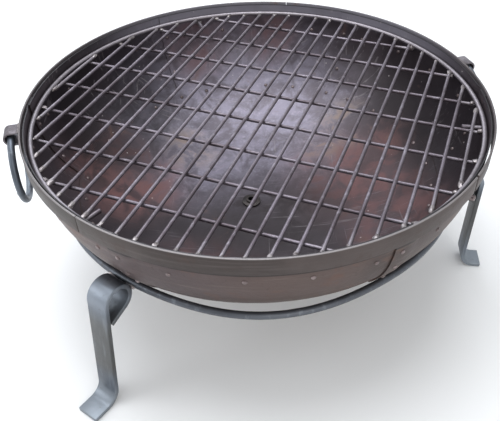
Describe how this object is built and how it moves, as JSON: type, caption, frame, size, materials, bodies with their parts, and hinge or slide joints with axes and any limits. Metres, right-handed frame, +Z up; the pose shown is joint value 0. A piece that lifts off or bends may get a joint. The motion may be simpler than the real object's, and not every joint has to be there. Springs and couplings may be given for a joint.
{
  "type": "fire bowl with grill and ring stand",
  "caption": "Round riveted steel fire bowl with a hooped rim, two drop-ring handles and a lift-off bar grill, resting in a three-legged ring stand.",
  "frame": {"origin": "at floor level, in the middle of the object's floor area; the bowl's upright axis stands at X -12.5 mm, Y -21.4 mm", "axes": "+Z up; leg 1 points to -X -Y, leg 2 to +X, leg 3 to -X +Y; the side that the picture faces is -Y"},
  "size_m": [0.8736, 0.8472, 0.368],
  "materials": {
    "plate_steel": "hammered plate, oiled and browned by rust, satin",
    "band_steel": "rolled flat bar, oiled, satin",
    "bar_steel": "round bar with bright welds, satin",
    "stand_steel": "blue-grey mill scale, satin",
    "fitting_steel": "turned, blackened"
  },
  "bodies": {
    "stand": {"stand_ring": "stand_steel", "leg_1": "stand_steel", "leg_2": "stand_steel", "leg_3": "stand_steel"},
    "bowl": {"base_plate": "plate_steel", "side_panel_1": "plate_steel", "side_panel_2": "plate_steel", "side_panel_3": "plate_steel", "side_panel_4": "plate_steel", "side_panel_5": "plate_steel", "side_panel_6": "plate_steel", "rim_band_1": "band_steel", "rim_band_2": "band_steel", "rim_band_3": "band_steel", "joint_stud": "band_steel", "grill_peg_1": "bar_steel", "grill_peg_2": "bar_steel", "grill_peg_3": "bar_steel", "drain_socket": "fitting_steel", "drain_ring_nut": "fitting_steel", "handle_strap_1": "band_steel", "handle_strap_2": "band_steel"},
    "grill": {"grill_hoop": "bar_steel", "grill_bar_01": "bar_steel", "grill_bar_02": "bar_steel", "grill_bar_03": "bar_steel", "grill_bar_04": "bar_steel", "grill_bar_05": "bar_steel", "grill_bar_06": "bar_steel", "grill_bar_07": "bar_steel", "grill_bar_08": "bar_steel", "grill_bar_09": "bar_steel", "grill_bar_10": "bar_steel", "grill_bar_11": "bar_steel", "grill_bar_12": "bar_steel", "grill_bar_13": "bar_steel", "grill_bar_14": "bar_steel", "grill_bar_15": "bar_steel", "grill_bar_16": "bar_steel", "grill_bar_17": "bar_steel", "grill_bar_18": "bar_steel", "grill_bar_19": "bar_steel", "grill_bar_20": "bar_steel", "grill_bar_21": "bar_steel", "grill_bar_22": "bar_steel", "grill_bar_23": "bar_steel", "grill_bar_24": "bar_steel", "grill_bar_25": "bar_steel", "grill_cross_bar_1": "bar_steel", "grill_cross_bar_2": "bar_steel", "grill_cross_bar_3": "bar_steel", "grill_cross_bar_4": "bar_steel", "grill_cross_bar_5": "bar_steel", "grill_cross_bar_6": "bar_steel", "grill_cross_bar_7": "bar_steel", "grill_cross_bar_8": "bar_steel"},
    "handle_1": {"handle_ring_1": "stand_steel"},
    "handle_2": {"handle_ring_2": "stand_steel"}
  },
  "joints": [
    {"name": "bowl_lift", "type": "slide", "parent": "stand", "child": "bowl", "axis": [0, 0, 1], "range_m": [0, 0.4]},
    {"name": "grill_lift", "type": "slide", "parent": "bowl", "child": "grill", "axis": [0, 0, 1], "range_m": [0, 0.4]},
    {"name": "handle_1_swing", "type": "hinge", "parent": "bowl", "child": "handle_1", "pos_m": [-0.41843, -0.10768, 0.352], "axis": [-0.2079, 0.9781, 0], "range_deg": [-10, 165]},
    {"name": "handle_2_swing", "type": "hinge", "parent": "bowl", "child": "handle_2", "pos_m": [0.38437, 0.09993, 0.352], "axis": [0.2924, -0.9563, 0], "range_deg": [-10, 165]}
  ]
}
